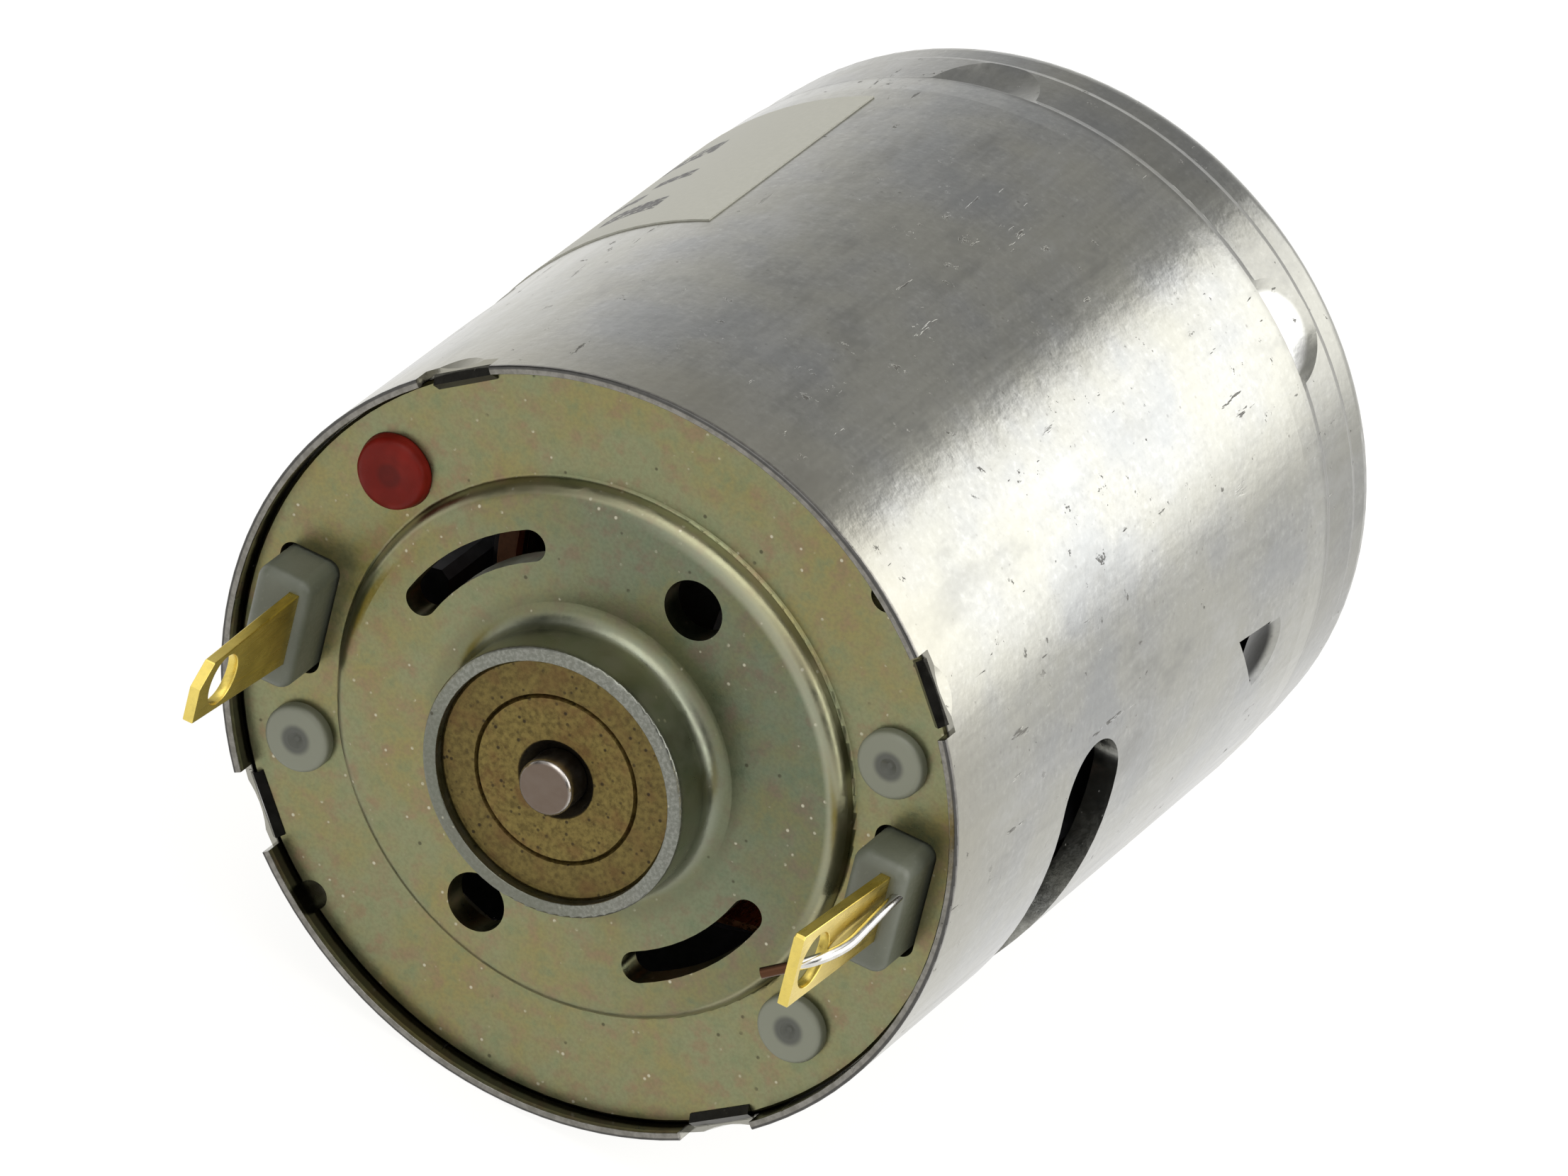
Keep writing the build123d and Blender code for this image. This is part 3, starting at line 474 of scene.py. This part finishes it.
def sintered_bronze():
    """Oil-filled sintered bronze: open pores between brown-gold grains, turned face, painted shade
    in the bore's opening.
    """
    g = new_material("sintered_bronze")
    r = g.radius()
    grains = g.noise(5.0, 4, 0.65)
    open_patches = g.span(g.noise(1.2, 2, 0.5, seed=3.0), 0.4, 0.6)
    pores = g.times(g.span(g.cells(3.4), 0.30, 0.12), open_patches)
    tone = g.mix(g.spread(grains), *BRONZE)
    stain = g.noise(0.9, 3, 0.6, seed=8.0)
    tone = g.mix(g.span(stain, 0.45, 0.7, 0, 0.5), tone, BRONZE_STAIN)
    outside = g.span(r, BUSHING_GROOVE_R - 0.1 * MM, BUSHING_GROOVE_R + 0.1 * MM, 0, 0.25)
    tone = g.mix(outside, tone, BRONZE_OUTSIDE)
    tone = g.mix(g.times(pores, 0.85), tone, BRONZE_PORE)
    # painted shade: the bore's chamfer darkened as if it were a deep gap
    mouth_shade = g.span(r, BUSHING_MOUTH_R + 0.06 * MM, BUSHING_MOUTH_R - 0.04 * MM, 0, 0.93)
    tone = g.mix(mouth_shade, tone, BRONZE_MOUTH_SHADE)
    tool_marks = g.math("SINE", g.times(r, 2 * pi / TOOL_FEED))
    height = g.minus(g.times(grains, 0.8), pores)
    height = g.plus(height, g.times(tool_marks, 0.05))
    return g.surface(Base_Color=tone, Metallic=0.9, Roughness=g.spread(grains, 0.34, 0.5),
                     Normal=g.bump(height, 0.008))


def terminal_brass():
    """Blanked brass strip with rolling marks and tarnish, and a painted highlight towards the tips.
    """
    g = new_material("terminal_brass")
    y = g.along()
    rolled = g.noise(5.5, 3, 0.6, g.stretched((1, 0.12, 1)))
    tarnish = g.noise(0.9, 4, 0.6, seed=7.0)
    tone = g.mix(g.span(tarnish, 0.35, 0.65), *BRASS)
    tone = g.mix(g.span(rolled, 0.45, 0.75, 0, 0.4), tone, BRASS_ROLLED)
    # painted highlight, growing towards the tips
    tip_highlight = g.span(y, TERMINAL_TIP + 5 * MM, TERMINAL_TIP + 0.5 * MM, 0, 0.5)
    tone = g.mix(tip_highlight, tone, BRASS_TIP_HIGHLIGHT)
    normal = g.bump(tarnish, 0.006, g.bump(rolled, 0.0022))
    return g.surface(Base_Color=tone, Metallic=1.0, Roughness=g.spread(rolled, 0.24, 0.36),
                     Normal=normal)


def nylon():
    """Grey moulded nylon with fine grain; the stake heads are paler, with painted shade in their
    dish.
    """
    g = new_material("nylon")
    y = g.along()
    grain = g.noise(6.0, 4, 0.6)
    flow = g.noise(0.5, 3, 0.5, seed=3.0)
    tone = g.mix(g.spread(flow), *NYLON)
    tone = g.mix(g.span(grain, 0.55, 0.75, 0, 0.4), tone, NYLON_GRAIN)
    nearest = 1.0
    for angle in STAKE_ANGLES:
        nearest = g.math("MINIMUM", nearest, g.from_stake(angle))
    head = g.times(g.span(y, PLATE_FACE, PLATE_FACE - 0.05 * MM),
                   g.span(nearest, STAKE_HEAD_R + 0.08 * MM, STAKE_HEAD_R - 0.07 * MM))
    tone = g.mix(g.times(head, 0.85), tone, NYLON_HEAD)
    # painted shade in each head's dish
    dish = g.span(nearest, STAKE_DISH_R + 0.14 * MM, STAKE_DISH_R - 0.1 * MM, 0, 0.9)
    tone = g.mix(g.times(head, dish), tone, NYLON_DISH_SHADE)
    return g.surface(Base_Color=tone, Roughness=g.spread(grain, 0.36, 0.5),
                     Normal=g.bump(grain, 0.006))


def red_paint():
    """Dab of dark red paint, darker in the stake's dish."""
    g = new_material("red_paint")
    ripple = g.noise(2.2, 3, 0.5)
    thin = g.noise(0.9, 2, 0.5, seed=5.0)
    tone = g.mix(g.span(thin, 0.35, 0.65), *PAINT)
    middle = g.from_stake(MARK_ANGLE)
    dish = g.span(middle, STAKE_DISH_R + 0.05 * MM, STAKE_DISH_R - 0.2 * MM, 0, 0.6)
    tone = g.mix(dish, tone, PAINT_DISH)
    return g.surface(Base_Color=tone, Roughness=g.spread(ripple, 0.32, 0.48),
                     Normal=g.bump(ripple, 0.02), Specular_IOR_Level=0.12)


def tinned_wire():
    """Tinned lead, slightly dimpled by handling, with a brown end inside the blade."""
    g = new_material("tinned_wire")
    dents = g.noise(1.6, 3, 0.5)
    tone = g.mix(g.span(dents, 0.35, 0.65), *TIN)
    x, _, z = g.axes()
    outward = g.plus(g.times(x, cos(TERMINAL_ANGLE)), g.times(z, sin(TERMINAL_ANGLE)))
    end = g.span(outward, BLADE_INNER_SIDE, BLADE_INNER_SIDE - 0.17 * MM)
    tone = g.mix(end, tone, LEAD_END)
    return g.surface(Base_Color=tone, Metallic=1.0, Roughness=g.spread(dents, 0.16, 0.28),
                     Normal=g.bump(dents, 0.012))


def ground_steel():
    """Ground shaft: fine rings round it and a darker, blotchy end face."""
    g = new_material("ground_steel")
    y = g.along()
    rings = g.noise(14, 3, 0.6, g.join(0.0, y, 0.0))
    blotch = g.noise(1.9, 4, 0.6, seed=2.0)
    tone = g.mix(g.spread(blotch), *SHAFT_STEEL)
    face = g.span(y, SHAFT_END + 0.09 * MM, SHAFT_END + 0.02 * MM)
    tone = g.mix(g.times(face, 0.93), tone, SHAFT_FACE)
    rough = g.plus(g.spread(blotch, 0.17, 0.27), g.times(face, 0.12))
    normal = g.bump(g.plus(rings, blotch), 0.0015)
    normal = g.bump(g.times(blotch, face), 0.012, normal)
    return g.surface(Base_Color=tone, Metallic=1.0, Roughness=rough, Normal=normal)


def label_film():
    """Printed film: off-white, with rows of plain generic bars where small print would be."""
    g = new_material("label_film")
    angle, y = g.angle(), g.along()
    fibres = g.noise(5.0, 4, 0.6)
    tone = g.mix(g.spread(fibres), *LABEL_FILM)
    ink = 0.0
    for start, tall, from_edge, wide in PRINT_ROWS:
        begin = LABEL_BACK + start * MM
        row = g.between(y, begin, begin + 0.05 * MM, begin + tall * MM, begin + (tall + 0.05) * MM)
        centre = radians(LABEL_EDGE_DEGREES + from_edge - wide / 2)
        off = g.math("ABSOLUTE", g.minus(angle, centre))
        bar = g.times(row, g.span(off, radians(wide / 2 + 0.2), radians(wide / 2)))
        ink = g.math("MAXIMUM", ink, bar)
    rubbed = g.span(g.noise(3.0, 2, 0.6, seed=4.0), 0.35, 0.5)
    tone = g.mix(g.times(ink, rubbed), tone, LABEL_INK)
    return g.surface(Base_Color=tone, Roughness=g.spread(fibres, 0.42, 0.55),
                     Normal=g.bump(fibres, 0.004))


def electrical_steel():
    """Stack of thin stampings: a groove between one sheet and the next."""
    g = new_material("electrical_steel")
    y = g.along()
    phase = g.math("FRACT", g.math("DIVIDE", y, LAMINATION_T))
    seam = g.span(g.math("ABSOLUTE", g.minus(phase, 0.5)), 0.38, 0.5)
    rust = g.noise(1.4, 4, 0.6)
    tone = g.mix(g.spread(rust), *STACK_STEEL)
    tone = g.mix(g.times(seam, 0.85), tone, STACK_SEAM)
    height = g.minus(g.times(rust, 0.1), seam)
    return g.surface(Base_Color=tone, Metallic=1.0, Roughness=g.spread(rust, 0.32, 0.48),
                     Normal=g.bump(height, 0.05))


def enamelled_copper():
    """Enamelled copper wire: amber lacquer over copper, darker where varnish has run."""
    g = new_material("enamelled_copper")
    patches = g.noise(1.0, 3, 0.5)
    fine = g.noise(6.0, 3, 0.5, seed=2.0)
    tone = g.mix(g.spread(patches), *ENAMEL)
    tone = g.mix(g.span(fine, 0.55, 0.8, 0, 0.5), tone, ENAMEL_DARK)
    return g.surface(Base_Color=tone, Metallic=0.85, Roughness=g.spread(patches, 0.2, 0.3),
                     Normal=g.bump(fine, 0.003), Coat_Weight=0.5, Coat_Roughness=0.1)


def rolled_metal(name, dark, light, rough):
    """Strip metal with rolling marks along the shaft's direction."""
    def build():
        g = new_material(name)
        marks = g.noise(5.0, 4, 0.6, g.stretched((1, 0.1, 1)))
        stain = g.noise(0.8, 3, 0.6, seed=3.0)
        tone = g.mix(g.span(g.plus(marks, stain), 0.75, 1.25), dark, light)
        return g.surface(Base_Color=tone, Metallic=1.0,
                         Roughness=g.spread(marks, rough, rough + 0.12),
                         Normal=g.bump(marks, 0.003))
    return build


def moulded(name, dark, light, rough, grain_per_mm, depth_mm):
    """Pressed or moulded non-metal with visible grain."""
    def build():
        g = new_material(name)
        grain = g.noise(grain_per_mm, 4, 0.65)
        cloud = g.noise(0.4, 3, 0.5, seed=2.0)
        tone = g.mix(g.span(g.plus(grain, cloud), 0.75, 1.25), dark, light)
        return g.surface(Base_Color=tone, Roughness=g.spread(grain, rough, rough + 0.15),
                         Normal=g.bump(grain, depth_mm))
    return build


FINISHES = {
    "zinc_steel": zinc_steel,
    "yellow_passivated_steel": yellow_passivated_steel,
    "sintered_bronze": sintered_bronze,
    "terminal_brass": terminal_brass,
    "nylon": nylon,
    "red_paint": red_paint,
    "tinned_wire": tinned_wire,
    "ground_steel": ground_steel,
    "label_film": label_film,
    "electrical_steel": electrical_steel,
    "enamelled_copper": enamelled_copper,
    "spring_steel": rolled_metal("spring_steel", (0.17, 0.17, 0.18), (0.33, 0.33, 0.34), 0.25),
    "leaf_copper": rolled_metal("leaf_copper", (0.42, 0.17, 0.08), (0.66, 0.31, 0.16), 0.22),
    "ferrite": moulded("ferrite", (0.022, 0.022, 0.024), (0.05, 0.05, 0.053), 0.45, 3.0, 0.012),
    "carbon": moulded("carbon", (0.018, 0.018, 0.018), (0.045, 0.044, 0.043), 0.5, 8.0, 0.006),
    "fibre": moulded("fibre", (0.24, 0.10, 0.055), (0.36, 0.17, 0.09), 0.5, 5.0, 0.01),
    "phenolic": moulded("phenolic", (0.055, 0.022, 0.012), (0.11, 0.045, 0.022), 0.3, 3.0, 0.005),
}


def dress_nodes():
    """Gives every CAD node the finish of its record slot, and returns the finishes by slot."""
    made = {}
    for node in NODES.values():
        for slot in node.material_slots:
            name = slot.material.name
            if name not in made:
                made[name] = FINISHES[name.split(".")[0]]()
            slot.material = made[name]
    return {name.split(".")[0]: material for name, material in made.items()}


MATERIALS = dress_nodes()


# ---------------------------------------------------------------- pieces
def add_mesh(name, points, faces, material, smooth=True):
    mesh = bpy.data.meshes.new(name)
    mesh.from_pydata(points, [], faces)
    mesh.polygons.foreach_set("use_smooth", [smooth] * len(mesh.polygons))
    mesh.materials.append(material)
    piece = bpy.data.objects.new(name, mesh)
    bpy.context.scene.collection.objects.link(piece)
    return piece


def quads_between(first, rings, sides, closed):
    """Quads from each ring of points to the next; a closed tube ends where it starts."""
    faces = []
    for ring in range(rings if closed else rings - 1):
        here = first + ring * sides
        there = first + (ring + 1) % rings * sides
        for step in range(sides):
            beside = (step + 1) % sides
            faces.append((here + step, here + beside, there + beside, there + step))
    return faces


def soften(name, width_mm):
    """Rounds a CAD node's sharp edges by a small radius, as moulding and blanking leave them."""
    node = NODES[name]
    weld = node.modifiers.new("weld", "WELD")
    weld.merge_threshold = WELD_DISTANCE
    bevel = node.modifiers.new("edges", "BEVEL")
    bevel.width = width_mm * MM
    bevel.segments = SOFT_SEGMENTS
    bevel.limit_method = "ANGLE"
    bevel.angle_limit = SHARP_ANGLE
    bevel.harden_normals = True


def paint_mark():
    """Red paint run over the whole stake head that marks the positive terminal."""
    centre = Vector((STAKE_PITCH_R * cos(MARK_ANGLE), PLATE_FACE, STAKE_PITCH_R * sin(MARK_ANGLE)))
    points = []
    for number, (radius, height) in enumerate(PAINT_PROFILE):
        for step in range(PAINT_SEGMENTS):
            angle = 2 * pi * step / PAINT_SEGMENTS
            waves = sin(3 * angle + 0.7) + 0.6 * sin(7 * angle + number * 0.4)
            reach = radius * (1 + PAINT_WOBBLE * waves) * MM
            points.append(centre + Vector((reach * cos(angle), -height * MM, reach * sin(angle))))
    faces = quads_between(0, len(PAINT_PROFILE), PAINT_SEGMENTS, closed=False)
    last = (len(PAINT_PROFILE) - 1) * PAINT_SEGMENTS
    faces.append(tuple(range(PAINT_SEGMENTS))[::-1])
    faces.append(tuple(range(last, last + PAINT_SEGMENTS)))
    piece = add_mesh("polarity_paint", points, faces, MATERIALS["red_paint"])
    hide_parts("polarity_mark")
    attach(piece, "stator")


def rounded_loop(inset):
    """Points (side, depth) of a turn round the tooth, in mm, inset from the coil's outside."""
    half_side = COIL_HALF - inset
    low, high = COIL_LOW + inset, COIL_HIGH - inset
    corner = COIL_ROUND - inset
    points = []
    for side, depth, start in ((1, high, 0), (-1, high, 90), (-1, low, 180), (1, low, 270)):
        middle_side = side * (half_side - corner)
        middle_depth = depth - corner if depth == high else depth + corner
        for step in range(CORNER_STEPS + 1):
            angle = radians(start + 90 * step / CORNER_STEPS)
            points.append((middle_side + corner * cos(angle), middle_depth + corner * sin(angle)))
    return points


def wire_turn(loop, out, radial, across):
    """Rings of points round one turn of wire that follows the loop, out from the axis in mm."""
    points = []
    for place, (side, depth) in enumerate(loop):
        ahead = loop[(place + 1) % len(loop)]
        behind = loop[place - 1]
        along = Vector((ahead[0] - behind[0], ahead[1] - behind[1])).normalized()
        for step in range(WIRE_SIDES):
            angle = 2 * pi * step / WIRE_SIDES
            reach = WIRE_D / 2 * cos(angle)
            lift = WIRE_D / 2 * sin(angle)
            point = radial * (out + lift) + across * (side + along.y * reach)
            point += Vector((0, -1, 0)) * (depth - along.x * reach)
            points.append(point * MM)
    return points


def winding(number):
    """Two layers of turns round one tooth; the inner layer lies in the outer one's gaps."""
    turned = (number - 1) * 2 * pi / POLES
    radial = Vector((cos(turned), 0, sin(turned)))
    across = Vector((-sin(turned), 0, cos(turned)))
    points = []
    faces = []
    for layer in range(WIRE_LAYERS):
        loop = rounded_loop(WIRE_D / 2 + layer * WIRE_D * LAYER_NESTING)
        for turn in range(TURNS - layer):
            out = COIL_INNER_R + WIRE_D / 2 + (turn + layer / 2) * TURN_PITCH
            faces += quads_between(len(points), len(loop), WIRE_SIDES, closed=True)
            points += wire_turn(loop, out, radial, across)
    piece = add_mesh("winding_" + str(number), points, faces, MATERIALS["enamelled_copper"])
    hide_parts("coil_" + str(number))
    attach(piece, "rotor")


for number in range(1, POLES + 1):
    winding(number)
for side in ("right", "left"):
    for kind, width_mm in SOFT_EDGES.items():
        soften(side + "_" + kind, width_mm)
paint_mark()

# ---------------------------------------------------------------- floor, light, camera
# Light levels are multiples of the white that the camera sees. Heights over the horizon and
# azimuths, from +Y towards +X, are in degrees: a fade is (from, to), and a gap or the softbox is
# (low, high, half the softness of the low edge, half that of the high one).
ROOM_FADE, ROOM_LOW_LEVEL, ROOM_HIGH_LEVEL = (-3, 30), 1.0, 0.53
AHEAD_AZIMUTH = -5
BEHIND_FROM_AHEAD, BEHIND_RISE, BEHIND_LEVEL = (115, 130), (6, 16), 1.25
RIGHT_GAP_AZIMUTH, RIGHT_GAP_HEIGHT = (111, 143, 3, 4), (8, 37, 3, 3)
LEFT_GAP_AZIMUTH, LEFT_GAP_HEIGHT, LEFT_GAP_SHARE = (-128, -88, 4, 4), (7, 30, 3, 3), 0.85
GAP_DEPTH = 0.97
SOFTBOX_AZIMUTH, SOFTBOX_FOOT, SOFTBOX_TOP = (12, 106, 5, 4), (-5, 17), (29, 27)
SOFTBOX_TILT, SOFTBOX_LEVEL = 0.3, 2.45
OVERHEAD_RISE, OVERHEAD_LEVEL = (52, 60), 1.3

FLOOR_HALF = 3.0
FLOOR_GLOW = 0.9

LENS_MM, SENSOR_MM = 372.3, 36.0
CLIP_NEAR, CLIP_FAR = 0.01, 20.0
CAMERA_PLACE_MM = Vector((141.97, -459.25, 292.39))
CAMERA_RIGHT = Vector((0.83467, 0.46447, 0.29593))
CAMERA_UP = Vector((-0.48587, 0.36804, 0.79276))
CAMERA_FORWARD = Vector((-0.25929, 0.80549, -0.53287))


def world_light():
    """Soft studio: a large box on the right, one overhead, and a grey room that is lighter
    behind the terminal end, with two dark gaps."""
    world = bpy.data.worlds.new("studio")
    bpy.context.scene.world = world
    g = Graph(world)
    x, y, z = g.axes(g.coords["Generated"])
    azimuth = g.math("ARCTAN2", x, y)
    height = g.math("ARCSINE", z)

    def fade(value, limits, start=0.0, end=1.0):
        return g.span(value, radians(limits[0]), radians(limits[1]), start, end)

    def band(value, limits):
        low, high, soft_low, soft_high = limits
        return g.between(value, radians(low - soft_low), radians(low + soft_low),
                         radians(high - soft_high), radians(high + soft_high))

    room = fade(height, ROOM_FADE, ROOM_LOW_LEVEL, ROOM_HIGH_LEVEL)
    from_ahead = g.math("ABSOLUTE", g.minus(azimuth, radians(AHEAD_AZIMUTH)))
    behind = g.times(fade(from_ahead, BEHIND_FROM_AHEAD), fade(height, BEHIND_RISE))
    level = g.plus(g.times(room, g.minus(1.0, behind)), g.times(behind, BEHIND_LEVEL))
    gap = g.times(band(azimuth, RIGHT_GAP_AZIMUTH), band(height, RIGHT_GAP_HEIGHT))
    left_gap = g.times(band(azimuth, LEFT_GAP_AZIMUTH), band(height, LEFT_GAP_HEIGHT))
    gap = g.math("MAXIMUM", gap, g.times(left_gap, LEFT_GAP_SHARE))
    level = g.times(level, g.minus(1.0, g.times(gap, GAP_DEPTH)))
    foot = fade(height, SOFTBOX_FOOT)
    top = fade(g.minus(height, g.times(azimuth, SOFTBOX_TILT)), SOFTBOX_TOP)
    softbox = g.times(band(azimuth, SOFTBOX_AZIMUTH), g.times(foot, top))
    level = g.plus(level, g.times(softbox, SOFTBOX_LEVEL))
    level = g.plus(level, g.times(fade(height, OVERHEAD_RISE), OVERHEAD_LEVEL))
    seen = g.node("ShaderNodeLightPath").outputs["Is Camera Ray"]
    level = g.plus(g.times(level, g.minus(1.0, seen)), seen)
    background = g.tree.nodes["Background"]
    background.inputs["Color"].default_value = (*STUDIO_WHITE, 1)
    g.feed(background.inputs["Strength"], level)


def make_floor():
    """Plain white table, lit from within as a light table is."""
    g = new_material("floor_white")
    tone = g.mix(g.spread(g.noise(0.02, 3)), *FLOOR_TONES)
    white = g.surface(Base_Color=tone, Roughness=0.9, Specular_IOR_Level=0.0,
                      Emission_Color=STUDIO_WHITE, Emission_Strength=FLOOR_GLOW)
    corners = [(-FLOOR_HALF, -FLOOR_HALF), (FLOOR_HALF, -FLOOR_HALF),
               (FLOOR_HALF, FLOOR_HALF), (-FLOOR_HALF, FLOOR_HALF)]
    points = [(x, y, FLOOR_Z) for x, y in corners]
    floor = add_mesh("floor", points, [(0, 1, 2, 3)], white, smooth=False)


def make_camera():
    """Long lens; the shaft is level in the row frame, so the camera is rolled."""
    data = bpy.data.cameras.new("camera")
    data.lens = LENS_MM
    data.sensor_width = SENSOR_MM
    data.clip_start = CLIP_NEAR
    data.clip_end = CLIP_FAR
    camera = bpy.data.objects.new("camera", data)
    turn = Matrix((CAMERA_RIGHT, CAMERA_UP, -CAMERA_FORWARD)).transposed()
    camera.matrix_world = Matrix.Translation(CAMERA_PLACE_MM * MM) @ turn.to_4x4()
    bpy.context.scene.collection.objects.link(camera)
    bpy.context.scene.camera = camera


world_light()
make_floor()
make_camera()
bpy.context.scene.view_settings.view_transform = "Standard"
